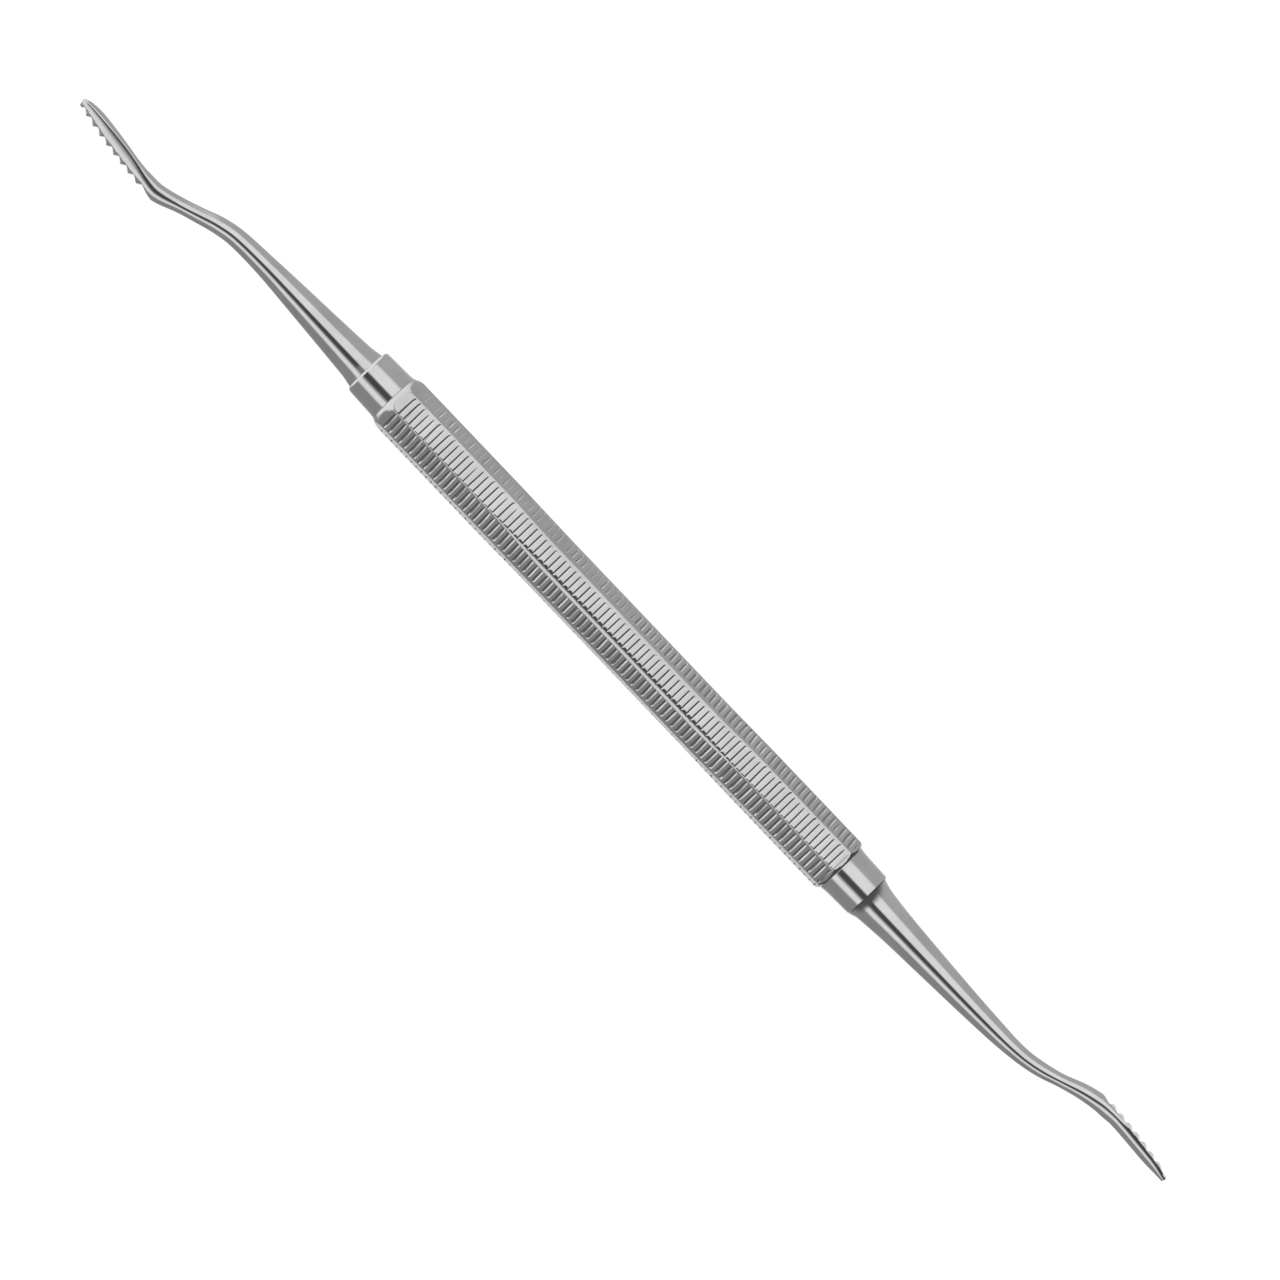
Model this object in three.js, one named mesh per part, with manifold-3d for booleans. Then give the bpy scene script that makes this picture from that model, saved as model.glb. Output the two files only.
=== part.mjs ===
// Double-ended steel file for clay, wax and plaster. All sizes are in millimetres.
//
// The handle is a hollow octagonal grip. A turned neck is pressed into each end of it, and a working
// end (tang, tapered shank and toothed blade) is brazed into each neck.
//
// Frame: X runs along the handle, +Z is up, and the origin is on the grip's lowest flat, below the
// handle's axis, so the tool lies on the plane z = 0.

import * as THREE from 'three';
import { mergeVertices } from 'three/addons/utils/BufferGeometryUtils.js';
import Module from 'manifold-3d';

// Grip
const gripWidth = 7.0;            // across two opposite flats
const gripFrom = -38.4;           // its two end faces, along X
const gripTo = 36.1;
const gripBore = 5.0;             // diameter of the hole from end to end
const gripEnd = 6.6;              // diameter left at each end face by the turned rounding
const leftRounding = 1.3;         // how far the turned rounding of each end reaches along X
const rightRounding = 0.55;
const facets = 8;
const cornerRound = 0.35;         // radius of the eased corners

// Grip grooves: short V slots sawn across each facet, which stop before its two edges
const groovePitch = 0.82;
const grooveWidth = 0.42;
const grooveDepth = 0.11;
const grooveLength = 2.3;
const grooveFrom = -37.6;         // the grooves lie between these two places
const grooveTo = 35.8;
const sideShift = -0.3;           // how far the grooves of three facets are shifted, in pitches

// Necks
const spigotLength = 9;           // the part of a neck inside the grip
const pressGap = 0.05;            // space left around each pressed or brazed stem
const seamGap = 0.03;             // space left at each shoulder

// Working ends
const tangWidth = 2.7;
const tangLength = 7;
const bendTilt = THREE.MathUtils.degToRad(9.8);   // the bend plane's turn about the handle's axis
const turnedSides = 32;
const barSides = 16;
const stepsPerRow = 4;            // sections made for each row of a shank, and from heel to gullet

// Each end has a neck and a working end. A neck flares to the grip over the length of its cove, and
// rear, front and rim are its radius past the cove, its radius at the front and its front edge's
// chamfer.
//
// Each row is a section of the working end: its distance from the origin along X, the offset of its
// widest line toward the toothed side, how far the back and the belly stand from that line, and half
// the width across. The shank's sections are round. Beyond the heel the belly is cut off by the tooth
// face, a shallow curve that starts at faceOffset, and its sides are nearly flat: taper is the share
// of the width that they lose over the belly, and corner is the power that sets how sharply they then
// turn under. roll turns the face a little upward. The gullets are toothDepth deep at the blade's
// lower edge and nearDepth at its upper edge. Past each gullet the face rises again over a length rise
// and stays level over a length crest, and it is tipNotch lower past the last gullet. From the heel to the first gullet it falls away.
const leftEnd = {
  name: 'left',
  direction: -1,
  neck: { gripFace: gripFrom, face: -42.85, cove: 0.9, rear: 3.2, front: 3.1, rim: 0.4 },
  rows: [
    [42.88, 0.14, 2.62, 2.62, 2.62],
    [44.3, 0.14, 2.36, 2.36, 2.36],
    [46.0, 0.14, 2.22, 2.22, 2.22],
    [50.6, 0.12, 1.91, 1.91, 1.91],
    [54.9, 0.10, 1.64, 1.64, 1.64],
    [59.9, 0.12, 1.33, 1.33, 1.33],
    [64.4, 0.33, 1.17, 1.17, 1.17],
    [66.8, 0.83, 1.09, 1.09, 1.09],
    [69.0, 1.58, 0.98, 0.98, 0.98],
    [71.4, 2.39, 0.94, 0.94, 0.94],
    [74.4, 3.30, 1.04, 1.23, 1.05],
    [76.4, 3.06, 0.72, 1.44, 1.15],
    [78.3, 2.74, 0.48, 1.72, 1.22],
    [80.6, 2.41, 0.48, 1.83, 1.25],
    [82.9, 2.22, 0.57, 1.73, 1.22],
    [85.2, 2.11, 0.66, 1.46, 1.15],
    [86.9, 2.06, 0.53, 1.21, 1.02],
    [87.6, 2.12, 0.36, 1.04, 0.88],
    [87.95, 2.24, 0.24, 0.83, 0.75],
  ],
  heel: 74.4, faceOffset: 4.52, faceSlope: 0.036, faceBend: 0.0062, roll: 4,
  taper: 0.62, corner: 6,
  gullets: 9, firstGullet: 76.1, lastGullet: 87.18, rise: 0.55, crest: 0.06, tipNotch: 0,
  toothDepth: 0.42, nearDepth: 0.42,
};
const rightEnd = {
  name: 'right',
  direction: 1,
  neck: { gripFace: gripTo, face: 40.6, cove: 1.45, rear: 3.13, front: 3.05, rim: 0.25 },
  rows: [
    [40.63, -0.10, 2.90, 2.90, 2.90],
    [41.3, -0.10, 2.66, 2.66, 2.66],
    [42.1, -0.12, 2.50, 2.50, 2.50],
    [46.0, -0.15, 2.14, 2.14, 2.14],
    [50.6, -0.18, 1.87, 1.87, 1.87],
    [57.6, -0.19, 1.49, 1.49, 1.49],
    [62.2, -0.13, 1.25, 1.25, 1.25],
    [64.5, -0.04, 1.10, 1.10, 1.10],
    [66.8, 0.19, 0.98, 0.98, 0.98],
    [69.0, 0.67, 0.92, 0.92, 0.92],
    [71.4, 1.44, 0.82, 0.82, 0.84],
    [74.0, 2.35, 0.97, 0.98, 0.95],
    [76.2, 2.95, 1.16, 1.00, 1.06],
    [77.3, 3.17, 1.29, 0.81, 1.10],
    [79.1, 3.27, 1.23, 0.56, 1.15],
    [84.0, 2.91, 1.12, 0.42, 1.12],
    [85.6, 2.70, 0.96, 0.42, 0.95],
    [87.0, 2.35, 0.59, 0.42, 0.72],
    [87.8, 2.15, 0.38, 0.42, 0.60],
  ],
  heel: 76.2, faceOffset: 3.95, faceSlope: 0.055, faceBend: 0.0046, roll: 10,
  taper: 0.03, corner: 40,
  gullets: 8, firstGullet: 77.2, lastGullet: 86.9, rise: 0.38, crest: 0.45, tipNotch: 0.25,
  toothDepth: 0.38, nearDepth: 0,
};

const apothem = gripWidth / 2;
const cornerRadius = apothem / Math.cos(Math.PI / facets);   // of the octagon's sharp corners

const steel = { metalness: 1 };
const gripSteel = new THREE.MeshStandardMaterial({ ...steel, color: 0xb4b4b2, roughness: 0.34 });
const neckSteel = new THREE.MeshStandardMaterial({ ...steel, color: 0xc2c2c0, roughness: 0.24 });
const bladeSteel = new THREE.MeshStandardMaterial({ ...steel, color: 0xbcbcba, roughness: 0.28 });

const wasm = await Module();
wasm.setup();

function toSolid(geometry) {
  const bare = geometry.clone();
  bare.deleteAttribute('normal');
  bare.deleteAttribute('uv');
  const merged = mergeVertices(bare, 1e-5);
  const vertProperties = new Float32Array(merged.attributes.position.array);
  const triVerts = new Uint32Array(merged.index.array);
  return new wasm.Manifold(new wasm.Mesh({ numProp: 3, vertProperties, triVerts }));
}

function toGeometry(solid) {
  const { vertProperties, triVerts } = solid.getMesh();
  const geometry = new THREE.BufferGeometry();
  geometry.setAttribute('position', new THREE.BufferAttribute(vertProperties, 3));
  geometry.setIndex(new THREE.BufferAttribute(triVerts, 1));
  return geometry;
}

// A body of revolution about the X axis. Each point of the profile is [x, radius].
function turned(profile) {
  const points = profile.map(([x, radius]) => new THREE.Vector2(radius, x));
  return new THREE.LatheGeometry(points, turnedSides).rotateZ(-Math.PI / 2);
}

// An octagonal bar along X with eased corners, one flat face straight up and one straight down
function octagonBar(from, to) {
  const centre = (apothem - cornerRound) / Math.cos(Math.PI / facets);
  const outline = new THREE.Shape();
  for (let i = 0; i < facets; i++) {
    const start = (2 * Math.PI * i) / facets;
    const end = start + (2 * Math.PI) / facets;
    const middle = (start + end) / 2;
    outline.absarc(centre * Math.cos(middle), centre * Math.sin(middle), cornerRound, start, end);
  }
  outline.closePath();
  const settings = { depth: to - from, bevelEnabled: false, curveSegments: 3 };
  return new THREE.ExtrudeGeometry(outline, settings).rotateY(Math.PI / 2).translate(from, 0, 0);
}

// The rounded ends and the bore, as a thick turned tube
function gripEnvelope() {
  const wide = gripWidth;
  const steps = 4;
  const end = gripEnd / 2;
  const outline = [[gripFrom, gripBore / 2]];
  for (let i = 0; i <= steps; i++) {
    const share = i / steps;
    const radius = end + (cornerRadius - end) * (1 - (1 - share) ** 1.4);
    outline.push([gripFrom + leftRounding * share, radius]);
  }
  outline.push([gripFrom + leftRounding, wide], [gripTo - rightRounding, wide]);
  for (let i = steps; i >= 0; i--) {
    const share = i / steps;
    const radius = end + (cornerRadius - end) * (1 - (1 - share) ** 1.4);
    outline.push([gripTo - rightRounding * share, radius]);
  }
  outline.push([gripTo, gripBore / 2], [gripFrom, gripBore / 2]);
  return turned(outline);
}

// A bar with a row of V teeth, which saws all the grooves of the top facet at once
function grooveComb(shift) {
  const clear = 0.1;              // the bar's height above the facet
  const back = 0.6;
  const flare = (grooveWidth / 2) * (1 + clear / grooveDepth);
  const first = Math.ceil(grooveFrom / groovePitch - 0.5 - shift);
  const last = Math.floor(grooveTo / groovePitch - 0.5 - shift);
  const outline = new THREE.Shape();
  outline.moveTo((first - 0.5) * groovePitch, back);
  for (let i = first; i <= last; i++) {
    const x = (i + 0.5 + shift) * groovePitch;
    outline.lineTo(x - flare, clear);
    outline.lineTo(x, -grooveDepth);
    outline.lineTo(x + flare, clear);
  }
  outline.lineTo((last + 2) * groovePitch, back);
  outline.closePath();
  const comb = new THREE.ExtrudeGeometry(outline, { depth: grooveLength, bevelEnabled: false });
  return comb.rotateX(Math.PI / 2).translate(0, grooveLength / 2, apothem);
}

function grip() {
  let body = toSolid(octagonBar(gripFrom, gripTo)).intersect(toSolid(gripEnvelope()));
  for (let i = 0; i < facets; i++) {
    const side = i > 0 && i < facets / 2;
    const comb = grooveComb(side ? sideShift : 0).rotateX((2 * Math.PI * i) / facets);
    body = body.subtract(toSolid(comb));
  }
  return toGeometry(body);
}

// A turned neck: the spigot, the shoulder and cove beside the grip, and the socket for the tang
function neck({ direction, neck: { gripFace, face, cove, rear, front, rim } }) {
  const spigot = gripBore / 2 - pressGap;
  const spigotEnd = gripFace - direction * spigotLength;
  const socket = tangWidth / 2 + pressGap;
  const socketEnd = face - direction * (tangLength + 0.3);
  const shoulder = gripFace + direction * seamGap;
  const flare = gripEnd / 2 - rear;
  const profile = [
    [spigotEnd, 0],
    [spigotEnd, spigot],
    [shoulder, spigot],
    [shoulder, rear + flare],
    [shoulder + direction * cove * 0.4, rear + flare * 0.36],
    [shoulder + direction * cove, rear],
    [face - direction * rim, front],
    [face, front - rim / 2],
    [face, socket],
    [socketEnd, socket],
    [socketEnd, 0],
  ];
  return turned(direction > 0 ? profile : profile.reverse());
}

// A smooth curve through the rows, read at one distance along X
function rowAt(rows, along) {
  const last = rows.length - 1;
  const found = rows.slice(1).findIndex((row) => row[0] >= along);
  const next = found < 0 ? last : found + 1;
  const [b, c] = [rows[next - 1], rows[next]];
  const [a, d] = [rows[Math.max(next - 2, 0)], rows[Math.min(next + 1, last)]];
  const span = c[0] - b[0];
  const t = (along - b[0]) / span;
  return b.map((value, k) => {
    const slopeIn = ((c[k] - a[k]) / (c[0] - a[0])) * span;
    const slopeOut = ((d[k] - value) / (d[0] - b[0])) * span;
    const rise = c[k] - value;
    return value + t * (slopeIn + t * (3 * rise - 2 * slopeIn - slopeOut
      + t * (slopeIn + slopeOut - 2 * rise)));
  });
}

// One section of a working end, as a closed ring of points across the bar. The section is an ellipse
// whose lower half, on the toothed side, is cut flat at the tooth face. nearNotch and farNotch are
// the depths below that face at its two edges. The roll and the flat sides come in at the heel.
function sectionRing(end, along, nearNotch, farNotch) {
  const [, offset, back, belly, halfWidth] = rowAt(end.rows, along);
  const slope = (rowAt(end.rows, along + 0.1)[1] - rowAt(end.rows, along - 0.1)[1]) / 0.2;
  const beyond = along - end.heel;
  const faceOffset = end.faceOffset - beyond * (end.faceSlope + beyond * end.faceBend);
  const flatness = THREE.MathUtils.smoothstep(beyond, 0, 5);
  const blend = THREE.MathUtils.smoothstep(along, end.heel - 5, end.heel + 2);
  const centre = new THREE.Vector3(end.direction * along, end.direction * offset, 0);
  const ahead = new THREE.Vector3(end.direction, end.direction * slope, 0).normalize();
  const backward = new THREE.Vector3(end.direction * slope, -end.direction, 0).normalize();
  backward.applyAxisAngle(ahead, THREE.MathUtils.degToRad(end.roll) * blend);
  const sideways = new THREE.Vector3().crossVectors(backward, ahead);
  const ring = [];
  for (let i = 0; i < barSides; i++) {
    const angle = (2 * Math.PI * i) / barSides;
    const sine = Math.sin(angle);
    const cosine = Math.cos(angle);
    const notch = THREE.MathUtils.lerp(farNotch, nearNotch, (1 + cosine) / 2);
    const face = beyond < 0 ? belly : faceOffset - offset - notch;
    const height = Math.max(sine > 0 ? back * sine : belly * sine, -face);
    const corner = Math.sqrt(1 - Math.min(1, Math.abs(sine)) ** end.corner);
    const tapered = Math.sign(cosine) * (1 - end.taper * Math.abs(sine) ** 1.25) * corner;
    const side = sine > 0 ? cosine : THREE.MathUtils.lerp(cosine, tapered, flatness);
    const point = centre.clone().addScaledVector(backward, height);
    ring.push(point.addScaledVector(sideways, halfWidth * side));
  }
  return ring;
}

function roundRing(end, along, radius) {
  const ring = [];
  for (let i = 0; i < barSides; i++) {
    const angle = (2 * Math.PI * i) / barSides;
    const height = -end.direction * radius * Math.sin(angle);
    ring.push(new THREE.Vector3(end.direction * along, height, radius * Math.cos(angle)));
  }
  return ring;
}

// Skins a row of rings and closes both ends with a fan
function loft(rings) {
  const count = rings[0].length;
  const positions = rings.flat().flatMap((point) => point.toArray());
  const triangles = [];
  for (let r = 0; r + 1 < rings.length; r++) {
    for (let i = 0; i < count; i++) {
      const here = r * count + i;
      const beside = r * count + ((i + 1) % count);
      triangles.push(here, beside, here + count, beside, beside + count, here + count);
    }
  }
  const lastRing = (rings.length - 1) * count;
  for (let i = 1; i + 1 < count; i++) {
    triangles.push(0, i + 1, i, lastRing, lastRing + i, lastRing + i + 1);
  }
  const geometry = new THREE.BufferGeometry();
  geometry.setAttribute('position', new THREE.Float32BufferAttribute(positions, 3));
  geometry.setIndex(triangles);
  return geometry;
}

// Tang, flared root, shank and blade in one forging
function workingEnd(end) {
  const root = end.rows[0][0];
  const rings = [
    roundRing(end, root - tangLength, tangWidth / 2),
    roundRing(end, root, tangWidth / 2),
  ];
  const shankRows = end.rows.filter((row) => row[0] < end.heel);
  shankRows.forEach(([along], i) => {
    const span = end.rows[i + 1][0] - along;
    for (let step = 0; step < stepsPerRow; step++) {
      rings.push(sectionRing(end, along + (span * step) / stepsPerRow, 0, 0));
    }
  });
  for (let step = 0; step < stepsPerRow; step++) {
    const share = step / stepsPerRow;
    const along = THREE.MathUtils.lerp(end.heel, end.firstGullet, share);
    const fall = share ** 1.4;
    rings.push(sectionRing(end, along, end.nearDepth * fall, end.toothDepth * fall));
  }
  const pitch = (end.lastGullet - end.firstGullet) / (end.gullets - 1);
  for (let i = 1; i <= end.gullets; i++) {
    const gullet = end.firstGullet + (i - 1) * pitch;
    const level = i < end.gullets ? 0 : end.tipNotch;
    rings.push(sectionRing(end, gullet, end.nearDepth, end.toothDepth));
    rings.push(sectionRing(end, gullet + end.rise, level, level));
    rings.push(sectionRing(end, gullet + end.rise + end.crest, level, level));
  }
  rings.push(sectionRing(end, end.rows.at(-1)[0], end.tipNotch, end.tipNotch));
  return loft(rings);
}

const group = new THREE.Group();
group.position.z = apothem;

function place(name, geometry, material, tilt = 0) {
  const mesh = new THREE.Mesh(geometry, material);
  mesh.name = name;
  mesh.rotation.x = tilt;
  group.add(mesh);
}

place('grip_sleeve', grip(), gripSteel);
for (const end of [leftEnd, rightEnd]) {
  place(`${end.name}_neck`, neck(end), neckSteel);
  place(`${end.name}_working_end`, workingEnd(end), bladeSteel, bendTilt);
}

export default group;
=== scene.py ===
"""Double-ended steel clay file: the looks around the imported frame.

Sizes are in millimetres until a mesh is made, and its points are then scaled to metres. X runs along
the handle and +Z is up. The five pieces stand for the five frame nodes, at the same sizes and places,
with the fine shape that the frame leaves out: rounded edges, grooves that run out, and cut teeth.
"""

import math

import bmesh
import bpy
import numpy as np
from mathutils import Matrix, Vector


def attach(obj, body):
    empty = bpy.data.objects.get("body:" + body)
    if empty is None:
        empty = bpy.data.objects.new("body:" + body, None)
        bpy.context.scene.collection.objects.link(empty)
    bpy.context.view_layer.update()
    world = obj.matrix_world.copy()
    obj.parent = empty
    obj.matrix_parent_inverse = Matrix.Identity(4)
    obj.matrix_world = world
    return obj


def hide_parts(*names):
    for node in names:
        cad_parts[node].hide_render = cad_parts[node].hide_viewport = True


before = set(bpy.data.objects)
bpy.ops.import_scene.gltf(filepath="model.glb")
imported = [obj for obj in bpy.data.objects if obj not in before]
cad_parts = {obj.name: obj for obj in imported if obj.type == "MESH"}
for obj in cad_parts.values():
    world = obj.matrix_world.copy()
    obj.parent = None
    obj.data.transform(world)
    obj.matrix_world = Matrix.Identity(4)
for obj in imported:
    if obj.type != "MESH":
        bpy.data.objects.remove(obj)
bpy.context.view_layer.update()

MM = 0.001
rng = np.random.default_rng(7)

# Handle
FACETS = 8
FACET_TURN = 2 * math.pi / FACETS
APOTHEM = 3.5
GRIP_FROM, GRIP_TO = -38.4, 36.1
GRIP_BORE = 2.5                  # radius
GRIP_END = 3.3                   # radius left at each end face by the turned rounding
LEFT_ROUNDING, RIGHT_ROUNDING = 1.3, 0.55
CORNER = APOTHEM / math.cos(FACET_TURN / 2)
FACET_HALF = APOTHEM * math.tan(FACET_TURN / 2)
CRISP_ROUND, WORN_ROUND = 0.35, 1.5      # radius of the corners at the ends and where fingers rest
WORN_HALF, CRISP_HALF = 12, 22           # where the worn stretch ends and the crisp one begins

# Grooves
PITCH = 0.82
GROOVE_HALF = 0.20               # half of a groove's width
GROOVE_SOFTNESS = 0.004          # how much its edges are eased
GROOVE_ROOT = 0.93               # the share of its depth at which its root is blunt
RUN_OUT = 0.15                   # the length over which a groove fades at each end
GROOVE_REACH = 1.25              # how far a groove runs from the middle of its facet
WORN_REACH = 1.56                # the same at the top facet's front corner, which it cuts through
SLIVER_REACH = 0.45              # the same at the upper corner of the front facet
GROOVE_DEPTH = 0.095             # at the middle of a facet
GROOVE_TILT = 0.015              # how much deeper it gets per millimetre across the facet
GROOVE_FROM, GROOVE_TO = -37.6, 35.8
SIDE_SHIFT = -0.3                # of a pitch
TOP_DEEPER, FRONT_DEEPER, FAR_DEEPER = 1.1, 1.6, 0.8     # facets cut deeper, the far one to the right
FAR_FROM, FAR_TO = -8, 14
WANDER, LEAN, DEPTH_SPREAD = 0.012, 0.010, 0.12          # how uneven the hand-set grooves are
END_POWER = 1.4                  # the roundness of the turned ends

# Necks
SPIGOT_LENGTH = 9
PRESS_GAP, SEAM_GAP = 0.05, 0.03

# Working ends
TANG, TANG_LENGTH = 1.35, 7      # radius and length
TANG_CHAMFER = 0.15
SOCKET_SPARE = 0.3               # how much deeper the socket is than the tang
BEND_TILT = math.radians(9.8)    # the bend plane's turn about the handle's axis
SHANK_STEP = 0.35                # between two sections of a shank
FLAT_BY = 5                      # how far past the heel the sides are fully flat
ROLL_BEFORE, ROLL_AFTER = 5, 2   # where the roll begins and ends, from the heel
FALL_POWER = 1.4                 # the fall from the heel to the first gullet
GULLET_ROOT = 0.05               # half the flat at the bottom of a gullet
TIP_EASE = 0.01

# The two ends. Past the heel the belly is cut off by the tooth face, a shallow curve that starts at
# face_offset, and the sides turn flat: taper is the share of the width they lose, and corner sets how
# sharply they turn under. The gullets are tooth_depth deep at the far edge and near_depth at the near
# one. Rows: distance along X, offset of the widest line toward the teeth, back, belly, half width.
LEFT_END = dict(
    direction=-1, heel=74.4, face_offset=4.50, face_slope=0.036, face_bend=0.0062, roll=4.0,
    taper=0.62, corner=6, gullets=9, first_gullet=76.1, last_gullet=87.18, rise=0.55, crest=0.06,
    tip_notch=0.0, tooth_depth=0.42, near_depth=0.42,
    neck=dict(grip_face=GRIP_FROM, face=-42.85, cove=0.9, rear=3.2, front=3.1, rim=0.4, steps=5),
    rows=np.array([
        [42.88, 0.14, 2.62, 2.62, 2.62],
        [44.3, 0.14, 2.36, 2.36, 2.36],
        [46.0, 0.14, 2.22, 2.22, 2.22],
        [50.6, 0.12, 1.91, 1.91, 1.91],
        [54.9, 0.10, 1.64, 1.64, 1.64],
        [59.9, 0.12, 1.33, 1.33, 1.33],
        [64.4, 0.33, 1.17, 1.17, 1.17],
        [66.8, 0.83, 1.09, 1.09, 1.09],
        [69.0, 1.58, 0.98, 0.98, 0.98],
        [71.4, 2.39, 0.94, 0.94, 0.94],
        [74.4, 3.08, 0.82, 1.40, 1.05],
        [76.4, 3.06, 0.72, 1.44, 1.15],
        [78.3, 2.74, 0.48, 1.72, 1.22],
        [80.6, 2.41, 0.48, 1.83, 1.25],
        [82.9, 2.22, 0.57, 1.73, 1.22],
        [85.2, 2.11, 0.66, 1.46, 1.15],
        [86.9, 2.06, 0.53, 1.21, 1.02],
        [87.6, 2.12, 0.36, 1.04, 0.88],
        [87.95, 2.24, 0.24, 0.83, 0.75],
    ]),
)
RIGHT_END = dict(
    direction=1, heel=76.2, face_offset=3.88, face_slope=0.052, face_bend=0.0046, roll=10.0,
    taper=0.03, corner=40, gullets=8, first_gullet=77.2, last_gullet=86.9, rise=0.38, crest=0.45,
    tip_notch=0.25, tooth_depth=0.38, near_depth=0.0,
    neck=dict(grip_face=GRIP_TO, face=40.6, cove=1.45, rear=3.13, front=3.05, rim=0.25, steps=5),
    rows=np.array([
        [40.63, -0.10, 2.90, 2.90, 2.90],
        [41.3, -0.10, 2.66, 2.66, 2.66],
        [42.1, -0.12, 2.50, 2.50, 2.50],
        [46.0, -0.15, 2.14, 2.14, 2.14],
        [50.6, -0.18, 1.87, 1.87, 1.87],
        [57.6, -0.19, 1.49, 1.49, 1.49],
        [62.2, -0.13, 1.25, 1.25, 1.25],
        [64.5, -0.04, 1.10, 1.10, 1.10],
        [66.8, 0.19, 0.98, 0.98, 0.98],
        [69.0, 0.67, 0.92, 0.92, 0.92],
        [71.4, 1.44, 0.82, 0.82, 0.84],
        [74.0, 2.35, 0.97, 0.98, 0.95],
        [76.2, 2.95, 1.16, 0.98, 1.06],
        [77.3, 3.17, 1.29, 0.81, 1.10],
        [79.1, 3.27, 1.23, 0.56, 1.15],
        [84.0, 2.91, 1.12, 0.42, 1.12],
        [85.6, 2.70, 0.96, 0.42, 0.95],
        [87.0, 2.35, 0.59, 0.42, 0.72],
        [87.8, 2.15, 0.38, 0.42, 0.60],
    ]),
)

# The picture's axes: the camera looks straight down on the plane that the ends are bent in.
TOWARD_CAMERA = Vector((0, -math.sin(BEND_TILT), math.cos(BEND_TILT)))
IN_PLANE = Vector((0, math.cos(BEND_TILT), math.sin(BEND_TILT)))
ALONG = Vector((1, 0, 0))
AXIS_HEIGHT = Vector((0, 0, APOTHEM))
SLOPE = math.radians(46.36)              # the handle's slope down the picture
PICTURE_RIGHT = ALONG * math.cos(SLOPE) + IN_PLANE * math.sin(SLOPE)
PICTURE_UP = IN_PLANE * math.cos(SLOPE) - ALONG * math.sin(SLOPE)


# ---------------------------------------------------------------- meshes

def smoothstep(value, low, high):
    t = np.clip((value - low) / (high - low), 0, 1)
    return t * t * (3 - 2 * t)


def skin(name, rings, looped=False, sharp=32):
    """One closed mesh through a row of rings. Looped rings join the last to the first; otherwise both
    ends are capped. Edges sharper than the given angle stay crisp."""
    count, across = rings.shape[:2]
    here = np.arange(count * across).reshape(count, across)
    ahead = np.roll(here, -1, axis=0) if looped else here[1:]
    start = here if looped else here[:-1]
    quads = np.stack([start, np.roll(start, -1, 1), np.roll(ahead, -1, 1), ahead], axis=-1)
    faces = quads.reshape(-1, 4).tolist()
    if not looped:
        faces.append(here[0][::-1].tolist())
        faces.append(here[-1].tolist())
    mesh = bpy.data.meshes.new(name)
    mesh.from_pydata((rings.reshape(-1, 3) * MM).tolist(), [], faces)
    mesh.polygons.foreach_set("use_smooth", np.ones(len(mesh.polygons), dtype=bool))
    work = bmesh.new()
    work.from_mesh(mesh)
    limit = math.radians(sharp)
    for edge in work.edges:
        edge.smooth = edge.calc_face_angle(0) < limit
    work.to_mesh(mesh)
    work.free()
    piece = bpy.data.objects.new(name, mesh)
    bpy.context.collection.objects.link(piece)
    return piece


def turned_rings(profile, sides):
    """Rings of a body turned about the handle's axis, from points (x, radius)."""
    angle = 2 * math.pi * np.arange(sides) / sides
    points = np.array(profile, dtype=float)
    x = np.repeat(points[:, :1], sides, axis=1)
    y = points[:, 1:] * np.cos(angle)
    z = points[:, 1:] * np.sin(angle) + APOTHEM
    return np.stack([x, y, z], axis=-1)


# ---------------------------------------------------------------- grip

def corner_round(x):
    return WORN_ROUND + (CRISP_ROUND - WORN_ROUND) * float(smoothstep(abs(x), WORN_HALF, CRISP_HALF))


def grip_columns():
    """Columns around the grip. Each has its facet, its share of the way across the flat (-1 to 1)
    and its turn along the rounded corner that follows the flat (0 to 1)."""
    flat = [(share, 0.0) for share in (-1, -0.8, -0.4, 0, 0.4, 0.8, 1)]
    corner = [(1.0, turn) for turn in np.arange(1, 12) / 12]
    return np.array([(k, share, turn) for k in range(FACETS) for share, turn in flat + corner])


def grip_section(x, columns):
    """y and z of the grip's plain surface at each column, each column's place across its own facet
    and depth below it, and its place across the facet beyond the corner."""
    radius = corner_round(x)
    flat_half = FACET_HALF - radius * math.tan(FACET_TURN / 2)
    k, share, turn = columns.T
    angle = turn * FACET_TURN
    place = share * flat_half + radius * np.sin(angle)
    below = radius * (1 - np.cos(angle))
    facing = math.pi / 2 + k * FACET_TURN
    height = APOTHEM - below
    y = height * np.cos(facing) - place * np.sin(facing)
    z = height * np.sin(facing) + place * np.cos(facing)
    far_place = -flat_half - radius * np.sin(FACET_TURN - angle)
    return y, z, place, below, far_place


def groove_shape(distance):
    """The depth of a V groove at a distance from its middle, as a share: soft edges, blunt root."""
    rise = 1 - np.abs(distance) / GROOVE_HALF
    return np.minimum((rise + np.sqrt(rise * rise + GROOVE_SOFTNESS)) / 2, GROOVE_ROOT)


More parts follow.
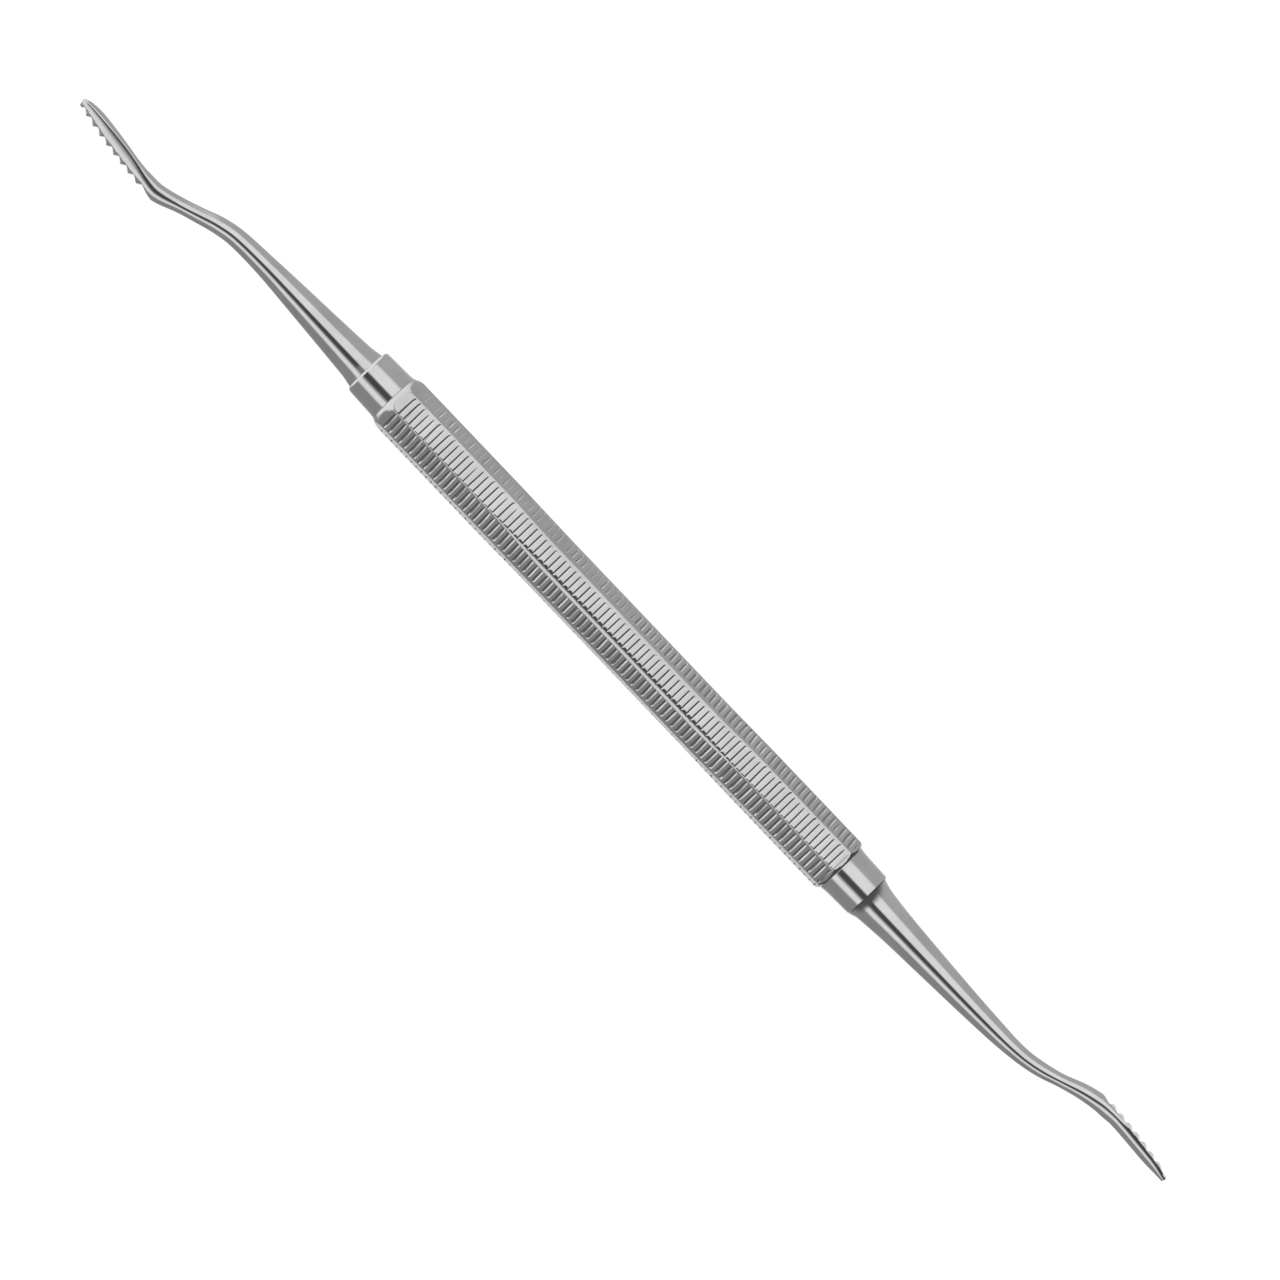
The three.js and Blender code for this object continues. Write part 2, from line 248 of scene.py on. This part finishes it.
def grip_rings():
    """Rings of the grooved grip from left to right, then of its bore back to the left."""
    columns = grip_columns()
    facet = columns[:, 0].astype(int)
    beyond = (facet + 1) % FACETS
    turn = columns[:, 2]
    shift = np.array([SIDE_SHIFT * PITCH if 0 < k < FACETS // 2 else 0 for k in range(FACETS)])
    first = math.ceil(GROOVE_FROM / PITCH - 0.5 - SIDE_SHIFT)
    last = math.floor(GROOVE_TO / PITCH - 0.5)
    grooves = np.arange(first, last + 1)
    wander = rng.normal(0, WANDER, (len(grooves), FACETS))
    lean = rng.normal(0, LEAN, (len(grooves), FACETS))
    depth = 1 + rng.normal(0, DEPTH_SPREAD, (len(grooves), FACETS))
    depth[:, 0] *= TOP_DEEPER
    depth[:, 1] *= FRONT_DEEPER
    depth[:, 7] *= 1 + FAR_DEEPER * smoothstep(grooves * PITCH, FAR_FROM, FAR_TO)
    facing = math.pi / 2 + np.arange(FACETS) * FACET_TURN
    normal = np.stack([np.cos(facing), np.sin(facing)], -1)
    around = np.array([-0.25, -0.21, -0.17, -0.1, -0.018, 0.018, 0.1, 0.17, 0.21, 0.25])
    offsets = np.sort(np.concatenate([around, around + SIDE_SHIFT * PITCH]))
    rings = []

    def end_ring(x, inward):
        limit = GRIP_END + (CORNER - GRIP_END) * (1 - (1 - inward) ** END_POWER)
        y, z = grip_section(x, columns)[:2]
        scale = np.minimum(1, limit / np.hypot(y, z))
        rings.append(np.stack([np.full(len(y), x), y * scale, z * scale], -1))

    def cut(row, k, x, place, below):
        """How far the groove on facet k sinks the surface, along that facet's normal."""
        middle = (grooves[row] + 0.5) * PITCH + shift[k] + wander[row, k] + lean[row, k] * place
        deep = (GROOVE_DEPTH + GROOVE_TILT * place) * depth[row, k]
        reach = np.where(k == 0, WORN_REACH, GROOVE_REACH)
        kept = 1 - smoothstep(place, reach - RUN_OUT, reach)
        start = np.where(k == 2, SLIVER_REACH, GROOVE_REACH)
        kept = kept * (1 - smoothstep(-place, start - RUN_OUT, start))
        return np.maximum(0, deep * groove_shape(x - middle) * kept - below * (place < reach))

    for step in np.linspace(0, 1, 13):
        end_ring(GRIP_FROM + LEFT_ROUNDING * step, step)
    for row, groove in enumerate(grooves):
        for offset in offsets:
            x = (groove + 0.5) * PITCH + offset
            if not GRIP_FROM + LEFT_ROUNDING < x < GRIP_TO - RIGHT_ROUNDING:
                continue
            y, z, place, below, far_place = grip_section(x, columns)
            here = wander[row, facet] + lean[row, facet] * place
            there = wander[row, beyond] + lean[row, beyond] * far_place
            x_moved = x + here + (there - here) * turn
            sink = cut(row, facet, x_moved, place, below)
            rings.append(np.stack([x_moved, y - normal[facet, 0] * sink,
                                   z - normal[facet, 1] * sink], -1))
    for step in np.linspace(1, 0, 9):
        end_ring(GRIP_TO - RIGHT_ROUNDING * step, step)
    bore_turn = math.pi / 2 + (facet + 0.5 * columns[:, 1] + turn * 0.5) * FACET_TURN
    for x in np.linspace(GRIP_TO, GRIP_FROM, 5):
        rings.append(np.stack([np.full(len(columns), x), GRIP_BORE * np.cos(bore_turn),
                               GRIP_BORE * np.sin(bore_turn)], -1))
    rings = np.array(rings)
    rings[..., 2] += APOTHEM
    return rings


def make_grip():
    return skin("grip", grip_rings(), looped=True, sharp=20)


# ---------------------------------------------------------------- necks

def make_neck(name, end):
    direction, neck = end["direction"], end["neck"]
    grip_face, face, cove, rear = neck["grip_face"], neck["face"], neck["cove"], neck["rear"]
    spigot = GRIP_BORE - PRESS_GAP
    spigot_end = grip_face - direction * SPIGOT_LENGTH
    socket = TANG + PRESS_GAP
    socket_end = face - direction * (TANG_LENGTH + SOCKET_SPARE)
    shoulder = grip_face + direction * SEAM_GAP
    flare = GRIP_END - 0.02 - rear
    profile = [(spigot_end, spigot - 0.2), (spigot_end + direction * 0.2, spigot),
               (shoulder, spigot), (shoulder, rear + flare - 0.03)]
    for step in np.linspace(0.04, 1, 12):
        profile.append((shoulder + direction * cove * step, rear + flare * (1 - step) ** 2))
    rim = neck["rim"]
    barrel_end = face - direction * rim
    barrel = barrel_end - shoulder - direction * cove
    for step in np.linspace(0.1, 1, 8):
        profile.append((shoulder + direction * cove + barrel * step,
                        rear + (neck["front"] - rear) * step))
    for step in np.arange(1, neck["steps"] + 1) / neck["steps"]:
        angle = step * math.pi / 3
        profile.append((barrel_end + direction * rim * math.sin(angle) / math.sin(math.pi / 3),
                        neck["front"] - rim * (1 - math.cos(angle))))
    profile += [(face, socket), (socket_end, socket)]
    if direction < 0:
        profile.reverse()
    return skin(name, turned_rings(profile, 160), sharp=26)


# ---------------------------------------------------------------- working ends

def row_at(rows, along):
    """A smooth curve through the rows, read at one distance along X."""
    last = len(rows) - 1
    nxt = int(np.clip(np.searchsorted(rows[:, 0], along), 1, last))
    b, c = rows[nxt - 1], rows[nxt]
    a, d = rows[max(nxt - 2, 0)], rows[min(nxt + 1, last)]
    span = c[0] - b[0]
    t = (along - b[0]) / span
    slope_in = (c - a) / (c[0] - a[0]) * span
    slope_out = (d - b) / (d[0] - b[0]) * span
    rise = c - b
    return b + t * (slope_in + t * (3 * rise - 2 * slope_in - slope_out
                                    + t * (slope_in + slope_out - 2 * rise)))


def section_ring(end, along, near_notch, far_notch, sides):
    """One section across a working end. The notches are the depths below the tooth face at its edges,
    nearer to the camera and further from it."""
    _, offset, back, belly, half_width = row_at(end["rows"], along)
    slope = (row_at(end["rows"], along + 0.1)[1] - row_at(end["rows"], along - 0.1)[1]) / 0.2
    beyond = along - end["heel"]
    face_offset = end["face_offset"] - beyond * (end["face_slope"] + beyond * end["face_bend"])
    flatness = float(smoothstep(beyond, 0, FLAT_BY))
    blend = float(smoothstep(beyond, -ROLL_BEFORE, ROLL_AFTER))
    way = end["direction"]
    centre = AXIS_HEIGHT + ALONG * way * along + IN_PLANE * way * offset
    ahead = (ALONG * way + IN_PLANE * way * slope).normalized()
    backward = (ALONG * way * slope - IN_PLANE * way).normalized()
    backward = Matrix.Rotation(math.radians(end["roll"]) * blend, 3, ahead) @ backward
    sideways = backward.cross(ahead)
    angle = 2 * math.pi * (np.arange(sides) + 0.5) / sides
    sine, cosine = np.sin(angle), np.cos(angle)
    notch = far_notch + (near_notch - far_notch) * (1 + cosine) / 2
    face = belly if beyond < 0 else face_offset - offset - notch
    height = np.maximum(np.where(sine > 0, back * sine, belly * sine), -face)
    corner = np.sqrt(1 - np.minimum(1, np.abs(sine)) ** end["corner"])
    tapered = np.sign(cosine) * (1 - end["taper"] * np.abs(sine) ** 1.25) * corner
    side = half_width * np.where(sine > 0, cosine, cosine + (tapered - cosine) * flatness)
    return (np.array(centre)[None, :] + height[:, None] * np.array(backward)[None, :]
            + side[:, None] * np.array(sideways)[None, :])


def make_working_end(name, end, sides=96):
    """Tang, flared root, shank and toothed blade. The blade has a group of sections at each gullet
    and at each crest."""
    rows = end["rows"]
    root, tip = rows[0, 0], rows[-1, 0]
    way = end["direction"]
    angle = 2 * math.pi * (np.arange(sides) + 0.5) / sides
    rings = []
    for along, radius in ((root - TANG_LENGTH, TANG - TANG_CHAMFER),
                          (root - TANG_LENGTH + TANG_CHAMFER, TANG), (root, TANG)):
        centre = np.array(AXIS_HEIGHT + ALONG * way * along)
        rings.append(centre - way * radius * np.sin(angle)[:, None] * np.array(IN_PLANE)
                     + radius * np.cos(angle)[:, None] * np.array(TOWARD_CAMERA))
    for along in np.arange(root, end["heel"], SHANK_STEP):
        rings.append(section_ring(end, along, 0, 0, sides))
    for share in np.linspace(0, 0.95, 9):
        along = end["heel"] + (end["first_gullet"] - end["heel"]) * share
        fall = share ** FALL_POWER
        near, far = end["near_depth"] * fall, end["tooth_depth"] * fall
        rings.append(section_ring(end, along, near, far, sides))
    pitch = (end["last_gullet"] - end["first_gullet"]) / (end["gullets"] - 1)

    def flat(start, stop, near_notch, far_notch):
        for along in np.linspace(start, stop, 3):
            rings.append(section_ring(end, along, near_notch, far_notch, sides))

    for i in range(1, end["gullets"] + 1):
        gullet = end["first_gullet"] + (i - 1) * pitch
        level = 0 if i < end["gullets"] else end["tip_notch"]
        crest = gullet + end["rise"]
        flat(gullet - GULLET_ROOT, gullet + GULLET_ROOT, end["near_depth"], end["tooth_depth"])
        flat(crest, crest + end["crest"], level, level)
    rings.append(section_ring(end, tip - TIP_EASE, end["tip_notch"], end["tip_notch"], sides))
    return skin(name, np.array(rings), sharp=28)


# ---------------------------------------------------------------- materials

CLOUD_SCALE, SCRATCH_SCALE = 260, 900
CLOUD_DARK, CLOUD_LIGHT = 0.92, 1.05     # how far the steel's colour drifts
BUMP_STRENGTH = 0.35


class Nodes:
    """Shorthand for building one material's node tree."""

    def __init__(self, name):
        self.material = bpy.data.materials.new(name)
        self.material.use_nodes = True
        self.tree = self.material.node_tree
        self.shader = self.tree.nodes["Principled BSDF"]

    def add(self, kind, **settings):
        node = self.tree.nodes.new(kind)
        for key, value in settings.items():
            if key in node.inputs:
                node.inputs[key].default_value = value
            else:
                setattr(node, key, value)
        return node

    def link(self, source, target):
        self.tree.links.new(source, target)


def noise(nodes, scale, stretch, detail=3.0, rough=0.6):
    """Noise in the object's own metres, stretched by a scale for each axis."""
    place = nodes.add("ShaderNodeTexCoord")
    mapping = nodes.add("ShaderNodeMapping")
    mapping.inputs["Scale"].default_value = stretch
    nodes.link(place.outputs["Object"], mapping.inputs["Vector"])
    texture = nodes.add("ShaderNodeTexNoise", Scale=scale, Detail=detail, Roughness=rough)
    nodes.link(mapping.outputs["Vector"], texture.inputs["Vector"])
    return texture.outputs["Fac"]


def remap(nodes, value, low, high, new_low, new_high):
    node = nodes.add("ShaderNodeMapRange")
    numbers = {"From Min": low, "From Max": high, "To Min": new_low, "To Max": new_high}
    for key, number in numbers.items():
        node.inputs[key].default_value = number
    nodes.link(value, node.inputs["Value"])
    return node.outputs["Result"]


def steel(name, color, roughness, spread, scratch_stretch, scratch_height):
    """Steel with faint clouds in its colour and fine scratches in its gloss and surface. The stretch
    is the scratches' scale along each axis, and their height is in metres."""
    nodes = Nodes(name)
    shader = nodes.shader
    shader.inputs["Metallic"].default_value = 1.0
    cloud = noise(nodes, CLOUD_SCALE, (1, 1, 1))
    scratches = noise(nodes, SCRATCH_SCALE, scratch_stretch, detail=2.0)
    blend = nodes.add("ShaderNodeMix", data_type="RGBA")
    dark = tuple(channel * CLOUD_DARK for channel in color)
    light = tuple(min(1, channel * CLOUD_LIGHT) for channel in color)
    nodes.link(remap(nodes, cloud, 0.3, 0.7, 0, 1), blend.inputs["Factor"])
    blend.inputs["A"].default_value = (*dark, 1)
    blend.inputs["B"].default_value = (*light, 1)
    nodes.link(blend.outputs["Result"], shader.inputs["Base Color"])
    nodes.link(remap(nodes, scratches, 0.25, 0.75, roughness - spread, roughness + spread),
               shader.inputs["Roughness"])
    bump = nodes.add("ShaderNodeBump", Strength=BUMP_STRENGTH, Distance=scratch_height)
    nodes.link(scratches, bump.inputs["Height"])
    nodes.link(bump.outputs["Normal"], shader.inputs["Normal"])
    return nodes.material


def grip_steel():
    return steel("grip_steel", (0.52, 0.52, 0.515), 0.12, 0.03, (0.05, 3, 3), 0.0000015)


def neck_steel():
    return steel("neck_steel", (0.56, 0.56, 0.555), 0.08, 0.02, (6, 0.05, 0.05), 0.000001)


def blade_steel():
    return steel("blade_steel", (0.56, 0.56, 0.555), 0.10, 0.03, (0.15, 2, 2), 0.000001)


# ---------------------------------------------------------------- studio

def make_floor():
    """A pale floor just below the tool, bright enough by itself to be nearly white. The steel's
    reflection of it is in the studio below."""
    mesh = bpy.data.meshes.new("floor")
    half, gap = 1.5, 0.0001          # metres
    mesh.from_pydata([(-half, -half, 0), (half, -half, 0), (half, half, 0), (-half, half, 0)], [],
                     [(0, 1, 2, 3)])
    floor = bpy.data.objects.new("floor", mesh)
    bpy.context.collection.objects.link(floor)
    nodes = Nodes("floor")
    nodes.shader.inputs["Base Color"].default_value = (0.4, 0.4, 0.4, 1)
    nodes.shader.inputs["Roughness"].default_value = 0.9
    nodes.shader.inputs["Specular IOR Level"].default_value = 0.0
    nodes.shader.inputs["Emission Color"].default_value = (1, 1, 1, 1)
    nodes.shader.inputs["Emission Strength"].default_value = 0.85
    mesh.materials.append(nodes.material)
    floor.location.z = -gap
    floor.visible_glossy = False


class WorldNodes:
    """Shorthand for the studio's node tree. Every method returns an output socket."""

    def __init__(self, tree):
        self.tree = tree
        self.place = tree.nodes.new("ShaderNodeTexCoord").outputs["Generated"]

    def plug(self, value, socket):
        if isinstance(value, (int, float)):
            socket.default_value = value
        else:
            self.tree.links.new(value, socket)

    def toward(self, axis):
        node = self.tree.nodes.new("ShaderNodeVectorMath")
        node.operation = "DOT_PRODUCT"
        self.tree.links.new(self.place, node.inputs[0])
        node.inputs[1].default_value = axis
        return node.outputs["Value"]

    def math(self, operation, first, second=0.0):
        node = self.tree.nodes.new("ShaderNodeMath")
        node.operation = operation
        self.plug(first, node.inputs[0])
        self.plug(second, node.inputs[1])
        return node.outputs["Value"]

    def step(self, value, low, high, new_low=0.0, new_high=1.0):
        node = self.tree.nodes.new("ShaderNodeMapRange")
        node.interpolation_type = "SMOOTHSTEP"
        self.plug(value, node.inputs["Value"])
        numbers = {"From Min": low, "From Max": high, "To Min": new_low, "To Max": new_high}
        for key, number in numbers.items():
            node.inputs[key].default_value = number
        return node.outputs["Result"]

    def mix(self, share, first, second):
        node = self.tree.nodes.new("ShaderNodeMix")
        node.data_type = "FLOAT"
        self.plug(share, node.inputs["Factor"])
        self.plug(first, node.inputs["A"])
        self.plug(second, node.inputs["B"])
        return node.outputs["Result"]


# The studio: long soft boxes that lie along the handle, in a room that is a little brighter on the +Y
# side. Each box has its middle, in degrees about the handle's axis from the lens toward +Y, half its
# width, the width of its soft edge, and its brightness.
KEY_BOX = (24, 18, 16, 1.2)
LOW_BOX = (-48, 6, 14, 1.2)
LENS = (-14, 8, 10, 0.1)         # the dark lens, between the two boxes
ROOM_LOW, ROOM_HIGH, ROOM_TURN = 0.38, 0.6, 60           # it brightens from -60 to 60 degrees
FLOOR_GLOW = 0.85                # the pale floor, as steel reflects it
FLOOR_FROM, FLOOR_TO = 140, 170  # where it comes in, in degrees to either side of the lens
BACKDROP = 0.9                   # what the camera itself sees past the floor
SIDE_LIGHT, SIDE_DARK = 1.3, 0.12        # past the left and right ends of the boxes
BOX_END, SIDE_FROM = 0.35, 0.65  # where the boxes end and the sides begin, along the handle's axis


def make_world():
    """A key box above the lens and a narrow one below it, in a dim room with a pale floor. Past the
    boxes' ends there is a light to the left and a dark wall to the right."""
    world = bpy.data.worlds.new("studio")
    bpy.context.scene.world = world
    world.use_nodes = True
    nodes = WorldNodes(world.node_tree)
    along, across, above = (nodes.toward(axis) for axis in (ALONG, IN_PLANE, TOWARD_CAMERA))
    turn = nodes.math("DEGREES", nodes.math("ARCTAN2", across, above))
    level = nodes.step(turn, -ROOM_TURN, ROOM_TURN, ROOM_LOW, ROOM_HIGH)
    for middle, half, edge, brightness in (KEY_BOX, LOW_BOX, LENS):
        away = nodes.math("ABSOLUTE", nodes.math("SUBTRACT", turn, middle))
        level = nodes.mix(nodes.step(away, half, half + edge), brightness, level)
    either_way = nodes.math("ABSOLUTE", turn)
    level = nodes.mix(nodes.step(either_way, FLOOR_FROM, FLOOR_TO), level, FLOOR_GLOW)
    level = nodes.mix(nodes.step(along, -SIDE_FROM, -BOX_END), SIDE_LIGHT, level)
    level = nodes.mix(nodes.step(along, BOX_END, SIDE_FROM), level, SIDE_DARK)

    seen = world.node_tree.nodes.new("ShaderNodeLightPath").outputs["Is Camera Ray"]
    level = nodes.mix(seen, level, BACKDROP)
    background = world.node_tree.nodes["Background"]
    nodes.plug(level, background.inputs["Color"])
    background.inputs["Strength"].default_value = 1.0


def make_camera():
    distance = 0.75                  # all in metres
    frame_width = 0.1473             # what the frame takes in at the tool
    aim_right, aim_up = 0.00178, 0.00005
    aim = AXIS_HEIGHT * MM + PICTURE_RIGHT * aim_right + IN_PLANE * aim_up
    data = bpy.data.cameras.new("camera")
    data.sensor_width = 36
    data.lens = 36 * distance / frame_width
    data.clip_start = 0.05
    data.clip_end = 20
    camera = bpy.data.objects.new("camera", data)
    bpy.context.collection.objects.link(camera)
    axes = Matrix((PICTURE_RIGHT, PICTURE_UP, TOWARD_CAMERA)).transposed().to_4x4()
    camera.matrix_world = Matrix.Translation(aim + TOWARD_CAMERA * distance) @ axes
    bpy.context.scene.camera = camera


# ---------------------------------------------------------------- assembly

def fit_out(piece, node, material):
    piece.data.materials.append(material)
    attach(piece, "root")
    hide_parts(node)


make_camera()
fit_out(make_grip(), "grip_sleeve", grip_steel())
neck_material = neck_steel()
fit_out(make_neck("left_collar", LEFT_END), "left_neck", neck_material)
fit_out(make_neck("right_collar", RIGHT_END), "right_neck", neck_material)
blade_material = blade_steel()
fit_out(make_working_end("left_file", LEFT_END), "left_working_end", blade_material)
fit_out(make_working_end("right_file", RIGHT_END), "right_working_end", blade_material)
make_floor()
make_world()
bpy.context.scene.view_settings.view_transform = "Standard"
